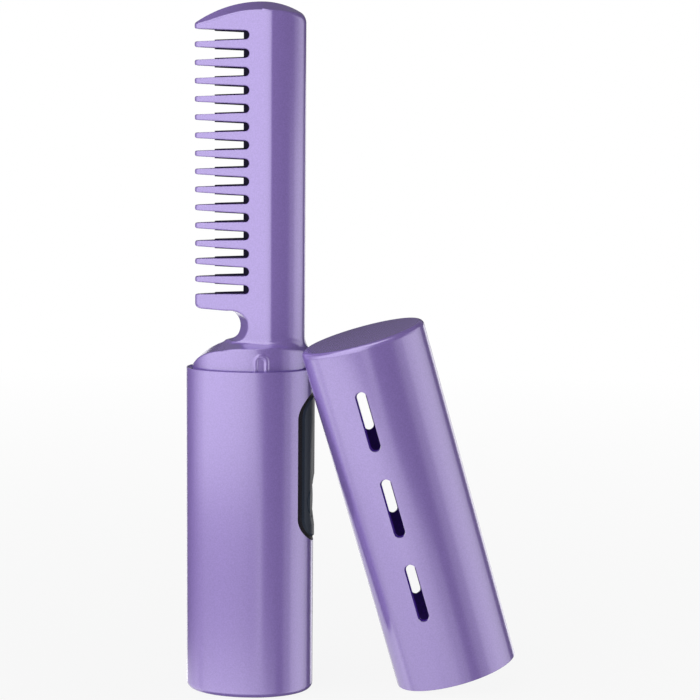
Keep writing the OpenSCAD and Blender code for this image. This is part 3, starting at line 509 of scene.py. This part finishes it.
def comb_slots(x, z):
    """Negative in the slots between the teeth."""
    row = np.clip(np.round((SLOTS["first"] - z) / SLOTS["pitch"]), 0, SLOTS["count"] - 1)
    dz = np.abs(z - (SLOTS["first"] - row * SLOTS["pitch"]))
    slope = (SLOTS["tip_r"] - SLOTS["root_r"]) / (SLOTS["root_x"] - SLOTS["tip_x"])
    reach = SLOTS["root_x"] - x
    straight = dz - SLOTS["root_r"] - slope * reach
    return np.where(reach > 0, straight, np.hypot(reach, dz) - SLOTS["root_r"])


def comb_open(x, y, z):
    """Negative in the hair notch and in the space under the last tooth."""
    under = z < NOTCH["z"]
    dx = x - NOTCH["x"] - NOTCH["flare"] * y
    dz = np.where(under, NOTCH["r"] / NOTCH["low"], NOTCH["r"] / NOTCH["high"]) * (z - NOTCH["z"])
    ring = np.hypot(np.maximum(dx, np.where(under, 0.0, -FAR)), dz) - NOTCH["r"]
    below = z - (LAST_TOOTH["z"] - LAST_TOOTH["slope"] * (x - LAST_TOOTH["x"]))
    return soft_min(ring, np.maximum(below, dx), NOTCH["blend"])


def shoulder(x, y, z):
    """The collar with its domed top."""
    wall = ellipse(x, y, COLLAR["a"], COLLAR["b"])
    rise = z - DOME["top"] + DOME["r"]
    left = np.hypot(x - DOME["left"], rise) - DOME["r"]
    right = np.hypot(x - DOME["right"], rise) - DOME["r"]
    arch = np.where(x < DOME["left"], left, np.where(x > DOME["right"], right, z - DOME["top"]))
    fall = ramp(x, *DOME_FALL) * np.maximum(y - DOME_TILT["fall_from"], 0)
    roof = arch + fall - DOME_TILT["slope"] * (x - DOME_TILT["x"])
    return soft_max(wall, roof * DOME["slope"], DOME["edge"])


def snap_rib(x, y, z):
    """A low arch of a rib on the collar."""
    dx = np.abs(x - RIB["x"])
    dz = z - (RIM_Z + RIB["h"] - RIB["w"] / 2)
    middle = RIB["w"] / 2 - RIB["inset"]
    line = np.where(dz < 0, np.abs(dx - middle), np.abs(np.hypot(dx, dz) - middle))
    face = ellipse(x, y, COLLAR["a"] + RIB["proud"], COLLAR["b"] + RIB["proud"])
    return soft_max(line - RIB["half_w"], face, RIB["round"])


def comb_field(x, y, z):
    y = np.abs(y)
    body = soft_max(comb_section(x, y), comb_crown(x, y, z), ramp(x, *CROWN_EDGE))
    body = soft_max(body, -comb_slots(x, z), ramp(x, *SLOT_EDGE))
    body = soft_max(body, -comb_open(x, y, z), ramp(x, *NOTCH_EDGE))
    body = np.maximum(body, COMB_FOOT - z)
    base = soft_min(shoulder(x, y, z), snap_rib(x, y, z), RIB["blend"])
    joined = soft_min(body, base, ramp(x, *SHOULDER_BLEND))
    return np.maximum(joined, COLLAR["foot"] - z)


def comb_mesh():
    verts, faces = net(comb_field, COMB_LOW, COMB_HIGH, COMB_STEP)
    obj = mesh_object("comb_body", verts, faces)
    obj.data.shade_smooth()
    obj.data.normals_split_custom_set_from_vertices(gradient(comb_field, verts).tolist())
    return obj


comb = comb_mesh()
comb.data.materials.append(lavender)
dress(comb, "handle", "lavender_plastic", "comb_front_shell", "comb_back_shell")


# Handle

# The panel's recess is cut between these places along x
PANEL_CUT = (14.0, 24.0)


def handle_field(x, y, z):
    wall = ellipse(x, y, HANDLE["a"], HANDLE["b"])
    low = rounded(wall, -z, HANDLE["round"])
    high = rounded(wall, z - RIM_Z, HANDLE["rim_round"])
    return np.where(z < RIM_Z / 2, low, high)


def handle_profile():
    """Insets and heights from the floor inside, over the rim with its seat, to the rounded foot."""
    wall, seat, inset = HANDLE["wall"], RIM_Z - SEAT["depth"], SEAT["inset"]
    bevel, root, edge = SEAT["bevel"], SEAT["root"], SEAT["break"]
    rim, foot = HANDLE["rim_round"], HANDLE["round"]
    profile = [(wall, HANDLE["floor"]), (wall, seat - bevel), (wall - bevel, seat)]
    profile += [(inset + root, seat), (inset, seat + root)]
    profile += [(inset, RIM_Z - bevel), (inset - edge, RIM_Z - edge), (inset - bevel, RIM_Z)]
    profile += quarter(rim, RIM_Z - rim, rim, 90, 0, RIM_STEPS)
    profile += [(0, z) for z in np.linspace(RIM_Z - WALL_CLEAR, foot + WALL_CLEAR, WALL_STEPS)]
    return profile + quarter(foot, foot, foot, 0, -90, ROUND_STEPS)


def handle_mesh():
    body = oval_solid("handle_body", HANDLE["a"], HANDLE["b"], handle_profile(), OVAL_POINTS)
    outline = stadium(PANEL["w"], PANEL["len"], FINE_ARC)
    recess = [facing_side(outline, x, PANEL["z"]) for x in PANEL_CUT]
    port = stadium(PORT["w"], PORT["len"], COARSE_ARC)
    socket = []
    for z in (PORT["low"], PORT["high"]):
        socket.append(np.stack([port[:, 0] + PORT["x"], port[:, 1], np.full(len(port), z)], axis=1))
    cut(body, [loft("panel_cut", recess), loft("port_cut", socket)])
    shade(body, handle_field)
    return body


handle = handle_mesh()
handle.data.materials.append(lavender)
dress(handle, "handle", "lavender_plastic", "handle_shell")


# Control panel

DISH_R = ((DISH["len"] / 2) ** 2 + DISH["depth"] ** 2) / (2 * DISH["depth"])
DISH_X = HANDLE["a"] + PANEL["proud"] - DISH["depth"] + DISH_R
DISH_SEGMENTS, DISH_RINGS = 192, 160
DISH_EDGE = 0.35

# The border lies under the handle's face, and a bevel leads from it to the raised middle
BORDER_Z, BORDER_W, BEVEL_W, EDGE_ROUND = -0.15, 1.0, 0.5, 0.12
BLACK_W = 1.08
PANEL_SLOPE, PANEL_KEEP = 0.9, 0.6
PANEL_FLANK = 4.5
PANEL_INSETS = (0, 0.03, 0.07, EDGE_ROUND, 0.3, 0.6, 0.9,
                *np.linspace(BORDER_W, BORDER_W + BEVEL_W, 9), 1.7, *np.linspace(2, 7.6, 16))

# The button's hole is cut between these places along x
BUTTON_BORE = (12.0, 24.0)


def dish_field(x, y, z):
    """Negative inside the finger dish."""
    return np.sqrt((x - DISH_X) ** 2 + y**2 + (z - BUTTON["z"]) ** 2) - DISH_R


def dish_floor(radius):
    """Where the dish's surface lies at a distance from its middle."""
    return DISH_X - math.sqrt(DISH_R**2 - radius * radius)


def panel_inset(y, z):
    """How far inside the panel's edge a point lies."""
    c = (PANEL["len"] - PANEL["w"]) / 2
    return PANEL["w"] / 2 - PANEL["gap"] - np.hypot(y, np.maximum(np.abs(z - PANEL["z"]) - c, 0))


def panel_height(inset):
    """Height of the panel's face over the handle, from its border to its middle."""
    rise = np.clip((inset - BORDER_W) / BEVEL_W, 0, 1)
    edge = -EDGE_ROUND * (1 - np.clip(inset / EDGE_ROUND, 0, 1)) ** 2
    return BORDER_Z + edge + (PANEL["proud"] - BORDER_Z) * rise * rise * (3 - 2 * rise)


def panel_surface(y, z):
    proud = panel_height(panel_inset(y, z))
    a, b = HANDLE["a"] + proud, HANDLE["b"] + proud
    return a * np.sqrt(np.maximum(1 - (y / b) ** 2, 0.01))


def panel_field(x, y, z):
    face = (x - panel_surface(y, z)) * PANEL_SLOPE
    return soft_max(face, -dish_field(x, y, z), DISH_EDGE)


def dish_cutter():
    ball = bmesh.new()
    bmesh.ops.create_uvsphere(ball, u_segments=DISH_SEGMENTS, v_segments=DISH_RINGS, radius=DISH_R)
    bmesh.ops.rotate(ball, verts=ball.verts, matrix=Matrix.Rotation(math.pi / 2, 3, "Y"))
    bmesh.ops.translate(ball, verts=ball.verts, vec=Vector((DISH_X, 0, BUTTON["z"])))
    bmesh.ops.scale(ball, verts=ball.verts, vec=Vector((MM, MM, MM)))
    mesh = bpy.data.meshes.new("dish_cut")
    ball.to_mesh(mesh)
    ball.free()
    return add_object("dish_cut", mesh)


def panel_mesh():
    width, length = PANEL["w"] - 2 * PANEL["gap"], PANEL["len"] - 2 * PANEL["gap"]
    rings = [facing_side(stadium(width, length, FINE_ARC), PANEL["back"], PANEL["z"])]
    for inset in PANEL_INSETS:
        outline = stadium(width - 2 * inset, length - 2 * inset, FINE_ARC)
        face = panel_surface(outline[:, 0], outline[:, 1] + PANEL["z"])
        rings.append(facing_side(outline, face, PANEL["z"]))
    obj = loft("panel_face", rings)
    hole = circle(BUTTON["r"] + BUTTON["gap"], BORE_POINTS)
    bore = loft("button_cut", [facing_side(hole, x, BUTTON["z"]) for x in BUTTON_BORE])
    cut(obj, [dish_cutter(), bore])
    shade(obj, panel_field, PANEL_KEEP)
    return obj


def blacken_border(obj):
    """Gives the border and the flanks the panel's second material."""
    for poly in obj.data.polygons:
        c = poly.center / MM
        if panel_inset(c.y, c.z) < BLACK_W or c.x < HANDLE["a"] - PANEL_FLANK:
            poly.material_index = 1


panel = panel_mesh()
panel.data.materials.append(panel_dark)
panel.data.materials.append(border_black)
blacken_border(panel)
dress(panel, "handle", "panel_dark", "control_panel")


# Power button

FACE_START, FACE_LESS, FACE_STEPS = 0.01, 0.35, 16
BUTTON_ROUND, BUTTON_SINK, BUTTON_TURN = 0.3, 0.33, 0.1
FLANGE_W, FLANGE_T, BUTTON_HOLLOW = 0.9, 0.7, 2.0


def button_profile():
    """Radii and places along x, from the middle of the face over its rounded edge to the back."""
    r, back = BUTTON["r"], BUTTON["back"]
    reach = r - FACE_LESS
    profile = []
    for i in range(FACE_STEPS + 1):
        q = FACE_START + reach * i / FACE_STEPS
        profile.append((q, dish_floor(q)))
    edge_r, edge_x = r - BUTTON_ROUND, dish_floor(r) - BUTTON_SINK
    for t in np.linspace(BUTTON_TURN, math.pi / 2, EDGE_STEPS):
        profile.append((edge_r + BUTTON_ROUND * math.sin(t), edge_x + BUTTON_ROUND * math.cos(t)))
    profile += [(r, back + FLANGE_T), (r + FLANGE_W, back + FLANGE_T), (r + FLANGE_W, back)]
    return profile + [(BUTTON_HOLLOW, back)]


def button_mesh():
    """The round button, with the dish carried on across its face."""
    rings = [facing_side(circle(q, BUTTON_POINTS), x, BUTTON["z"]) for q, x in button_profile()]
    obj = loft("button_cap", rings)
    obj.data.shade_smooth()
    return obj


button = button_mesh()
button.data.materials.append(panel_dark)
dress(button, "button", "panel_dark", "power_button")


# Cap

# The vents are cut between these places along y
VENT_CUT = (-20.0, 20.0)
MERGE = 1e-6
SIDE_TURN = Matrix.Rotation(math.radians(-LEAN["side"]), 3, "Y")
FRONT_TURN = Matrix.Rotation(math.radians(LEAN["front"]), 3, "X")
OWN_TURN = Matrix.Rotation(math.radians(LEAN["turn"]), 3, "Z")
TURN = SIDE_TURN @ FRONT_TURN @ OWN_TURN

# The lowest point of the leaning rim rests on the floor
RISE = math.hypot(CAP["a"] * (TURN @ Vector((1, 0, 0))).z, CAP["b"] * (TURN @ Vector((0, 1, 0))).z)
LEANING = Matrix.Translation(Vector((*LEAN["foot"], RISE)) * MM) @ TURN.to_4x4()


def cap_field(x, y, z):
    wall = ellipse(x, y, CAP["a"], CAP["b"])
    top = rounded(wall, z - CAP["len"], CAP["round"])
    return np.where(z > CAP["len"] / 2, top, rounded(wall, -z, CAP["foot_round"]))


def liner_field(x, y, z):
    inset = CAP["wall"] + LINER["gap"] + LINER["t"]
    return -ellipse(x, y, CAP["a"] - inset, CAP["b"] - inset)


def vent_cutters(shift, width):
    """Cutters for the vents, which lie further left in the back wall than in the front wall."""
    out = []
    for i in range(VENT["count"]):
        outline = stadium(width, VENT["len"] - VENT["w"] + width, COARSE_ARC)
        z = CAP["len"] - VENT["drop"] - i * VENT["pitch"]
        rings = []
        for y in VENT_CUT:
            x = outline[:, 0] + VENT["x"] + shift - VENT["skew"] * (y + CAP["b"])
            rings.append(np.stack([x, np.full(len(outline), y), outline[:, 1] + z], axis=1))
        out.append(loft(f"vent_cut_{i}", rings))
    return out


def cap_profile():
    """Insets and heights from the top inside, over the open foot, to the rounded top."""
    wall, top, bend, foot = CAP["wall"], CAP["len"], CAP["round"], CAP["foot_round"]
    inner = bend - wall
    profile = quarter(wall + inner, top - wall - inner, inner, 90, 0, INNER_STEPS)
    profile += [(wall, CAP["bevel"]), (wall - CAP["bevel"], 0)]
    profile += quarter(foot, foot, foot, -90, 0, FOOT_STEPS)
    profile += [(0, z) for z in np.linspace(WALL_CLEAR, top - bend - WALL_CLEAR, WALL_STEPS)]
    return profile + quarter(bend, top - bend, bend, 0, 90, ROUND_STEPS)


def cap_mesh():
    obj = oval_solid("cap_body", CAP["a"], CAP["b"], cap_profile(), OVAL_POINTS)
    cut(obj, vent_cutters(0.0, VENT["w"]))
    shade(obj, cap_field)
    return obj


# The inner sleeve, whose dark navy is painted shade for the inside of the cap. Its vents are narrower and
# shifted, so that the painted shade also shows as a dark strip along one side of each vent
def liner_mesh():
    out = CAP["wall"] + LINER["gap"]
    inside = out + LINER["t"]
    foot, top = LINER["foot"], CAP["len"] - CAP["round"] - LINER["head"]
    profile = [(inside, foot), (inside, top), (out, top), (out, foot), (inside, foot)]
    rings = [oval_ring(CAP["a"] - i, CAP["b"] - i, z, LINER_POINTS) for i, z in profile]
    obj = loft("cap_inner_sleeve", rings, closed=False)
    outward(obj, MERGE)
    cut(obj, vent_cutters(LINER["vent_shift"], VENT["w"] - LINER["vent_less"]))
    shade(obj, liner_field)
    return obj


def lean(piece):
    """Leans a piece of the cap on the handle. It isn't mirrored in the handle."""
    piece.data.transform(LEANING)
    piece.visible_glossy = False


cap = cap_mesh()
cap.data.materials.append(lavender)
lean(cap)
dress(cap, "cap", "lavender_plastic", "cap_shell")

liner = liner_mesh()
liner.data.materials.append(liner_dark)
lean(liner)
dress(liner, "cap", "liner_dark", "cap_liner")


# Camera, with its turns in radians

CAMERA_AT = Vector((57.765, -545.583, 175.04)) * MM
CAMERA_YAW, CAMERA_PITCH, CAMERA_ROLL = -0.051, 0.113, 0.008
FOCAL_PX, FRAME_PX, CENTRE_PX = 1840.454, 700, 321.084
SENSOR_MM = 36
CLIP_NEAR, CLIP_FAR = 0.01, 20


def camera_turn():
    """The camera's axes in the world, from its yaw, pitch and roll."""
    yaw_sin, yaw_cos = math.sin(CAMERA_YAW), math.cos(CAMERA_YAW)
    level = math.cos(CAMERA_PITCH)
    ahead = Vector((yaw_sin * level, yaw_cos * level, -math.sin(CAMERA_PITCH)))
    side = Vector((yaw_cos, -yaw_sin, 0))
    rise = side.cross(ahead)
    right = side * math.cos(CAMERA_ROLL) + rise * math.sin(CAMERA_ROLL)
    up = rise * math.cos(CAMERA_ROLL) - side * math.sin(CAMERA_ROLL)
    return Matrix((right, up, -ahead)).transposed().to_4x4()


def add_camera():
    data = bpy.data.cameras.new("camera")
    data.sensor_width = SENSOR_MM
    data.lens = FOCAL_PX * SENSOR_MM / FRAME_PX
    data.shift_y = -(FRAME_PX / 2 - CENTRE_PX) / FRAME_PX
    data.clip_start, data.clip_end = CLIP_NEAR, CLIP_FAR
    camera = add_object("camera", data)
    camera.matrix_world = camera_turn()
    camera.location = CAMERA_AT
    bpy.context.scene.camera = camera


add_camera()


# Lights, in metres. Azimuth 0 is the front, and 90 the right

# Radiance of the ring's panels by azimuth: the broad key light, the right side, and panels for the cap alone
RING_R, PANEL_STEP = 0.5, 13.0
KEY = {-103: 0.15, -90: 0.55, -77: 1.05, -64: 1.55, -51: 1.6, -38: 1.6, -25: 1.6, -12: 1.55, 1: 1.35}
RIGHT = {53: 0.45, 66: 1.15, 79: 1.35, 92: 1.25, 105: 0.9}
RIGHT_HIGH = {66: 0.4, 79: 0.8, 92: 1.0, 105: 0.9}
FOR_CAP = {-168: 0.8, -155: 0.7, -142: 0.7, -129: 0.8, -116: 0.9, -103: 1.0, -90: 1.3, 14: 1.0, 27: 0.6}

# Heights where rows of panels meet. A dim row shades the lower handle, and the cap mirrors those below it
BOTTOM, CAP_SPLIT, DIM_LOW, DIM_HIGH, RIGHT_SPLIT, TOP = -0.6, -0.3, -0.14, -0.04, 0.17, 0.45

# A narrow panel that softens the key light's right edge
KEY_EDGE = {"azimuth": 11.2, "span": 7.4, "low": -0.14, "high": 0.02, "radiance": 0.85}

BACK = {150: 1.3, 200: 1.0}
BACK_R, BACK_Z, BACK_WIDTH, BACK_TALL = 0.9, -0.05, 0.35, 0.5
MIDDLE = (0.02, 0, 0.11)
BACK_TOP = {"place": (0, 0.8, 0.6), "width": 1.2, "tall": 0.35, "radiance": 0.07}
OVERHEAD = {"place": (-0.3, -0.35, 0.9), "width": 0.8, "tall": 0.8, "radiance": 1.8}


def dimmed(panels, share):
    return {azimuth: share * radiance for azimuth, radiance in panels.items()}


# Rows of the ring: the lowest height, the highest, and the panels
RING = (
    (BOTTOM, CAP_SPLIT, dimmed(KEY, 0.7) | FOR_CAP),
    (CAP_SPLIT, DIM_LOW, dimmed(KEY, 0.95) | FOR_CAP),
    (DIM_LOW, DIM_HIGH, dimmed(KEY, 0.3)),
    (DIM_HIGH, TOP, KEY),
    (BOTTOM, RIGHT_SPLIT, RIGHT),
    (RIGHT_SPLIT, TOP, RIGHT_HIGH),
)


def softbox(name, place, target, width, tall, radiance):
    """A rectangular light at one place that faces another."""
    data = bpy.data.lights.new(name, "AREA")
    data.shape = "RECTANGLE"
    data.size, data.size_y = width, tall
    data.energy = radiance * math.pi * width * tall
    obj = add_object(name, data)
    obj.location = place
    obj.rotation_mode = "QUATERNION"
    obj.rotation_quaternion = (Vector(target) - Vector(place)).to_track_quat("-Z", "Y")
    obj.visible_camera = False


def around(azimuth, distance, z):
    """A place at an azimuth in degrees and a distance from the handle's axis."""
    a = math.radians(azimuth)
    return (math.sin(a) * distance, -math.cos(a) * distance, z)


def ring_panel(name, azimuth, span, low, high, radiance):
    """One upright panel around the object, which spans an angle."""
    width = 2 * RING_R * math.tan(math.radians(span / 2))
    middle = (low + high) / 2
    softbox(name, around(azimuth, RING_R, middle), (0, 0, middle), width, high - low, radiance)


def add_lights():
    for row, (low, high, panels) in enumerate(RING):
        for azimuth, radiance in panels.items():
            ring_panel(f"ring_{row}_{azimuth}", azimuth, PANEL_STEP, low, high, radiance)
    ring_panel("key_edge", **KEY_EDGE)
    for azimuth, radiance in BACK.items():
        place = around(azimuth, BACK_R, BACK_Z)
        softbox(f"back_{azimuth}", place, (0, 0, BACK_Z), BACK_WIDTH, BACK_TALL, radiance)
    softbox("back_top", target=MIDDLE, **BACK_TOP)
    softbox("top_light", target=MIDDLE, **OVERHEAD)


add_lights()


# World and floor

WORLD_LIGHT = 0.08
FLOOR_HALF, FLOOR_FADE = 3000, 700
FLOOR_GREY, FLOOR_ROUGH, FLOOR_WHITE = 0.4, 0.9, 0.9


def add_world():
    """Low even light, with white where the camera sees past the object."""
    world = bpy.data.worlds.new("studio")
    bpy.context.scene.world = world
    world.use_nodes = True
    tree = world.node_tree
    plain = tree.nodes["Background"]
    plain.inputs["Color"].default_value = (1, 1, 1, 1)
    plain.inputs["Strength"].default_value = WORLD_LIGHT
    glow = tree.nodes.new("ShaderNodeBackground")
    glow.inputs["Color"].default_value = (1, 1, 1, 1)
    glow.inputs["Strength"].default_value = 1.0
    path = tree.nodes.new("ShaderNodeLightPath")
    mix = tree.nodes.new("ShaderNodeMixShader")
    tree.links.new(path.outputs["Is Camera Ray"], mix.inputs[0])
    tree.links.new(plain.outputs[0], mix.inputs[1])
    tree.links.new(glow.outputs[0], mix.inputs[2])
    tree.links.new(mix.outputs[0], tree.nodes["World Output"].inputs["Surface"])


def white_share(tree):
    """How much of the floor's own white the camera sees: all of it, but less near the object."""
    place = tree.nodes.new("ShaderNodeTexCoord")
    size = tree.nodes.new("ShaderNodeMapping")
    size.inputs["Scale"].default_value = [1 / (FLOOR_FADE * MM)] * 3
    fade = tree.nodes.new("ShaderNodeTexGradient")
    fade.gradient_type = "SPHERICAL"
    share = tree.nodes.new("ShaderNodeMapRange")
    share.inputs["To Min"].default_value = 1.0
    share.inputs["To Max"].default_value = FLOOR_WHITE
    path = tree.nodes.new("ShaderNodeLightPath")
    part = tree.nodes.new("ShaderNodeMath")
    part.operation = "MULTIPLY"
    tree.links.new(place.outputs["Object"], size.inputs["Vector"])
    tree.links.new(size.outputs["Vector"], fade.inputs["Vector"])
    tree.links.new(fade.outputs["Fac"], share.inputs["Value"])
    tree.links.new(share.outputs["Result"], part.inputs[0])
    tree.links.new(path.outputs["Is Camera Ray"], part.inputs[1])
    return part.outputs[0]


def floor_material():
    base = (FLOOR_GREY, FLOOR_GREY, FLOOR_GREY, 1)
    mat, tree, surface = shader("floor_pale", Roughness=FLOOR_ROUGH, Base_Color=base)
    glow = tree.nodes.new("ShaderNodeEmission")
    mix = tree.nodes.new("ShaderNodeMixShader")
    tree.links.new(white_share(tree), mix.inputs[0])
    tree.links.new(surface.outputs[0], mix.inputs[1])
    tree.links.new(glow.outputs[0], mix.inputs[2])
    tree.links.new(mix.outputs[0], tree.nodes["Material Output"].inputs["Surface"])
    return mat


def add_floor():
    """A pale floor that keeps the object's shadow, and lets the ring's low panels through."""
    h = FLOOR_HALF
    floor = mesh_object("floor", [(-h, -h, 0), (h, -h, 0), (h, h, 0), (-h, h, 0)], [(0, 1, 2, 3)])
    floor.data.materials.append(floor_material())
    floor.visible_glossy = False
    floor.visible_shadow = False


add_world()
add_floor()
bpy.context.scene.view_settings.view_transform = "Standard"
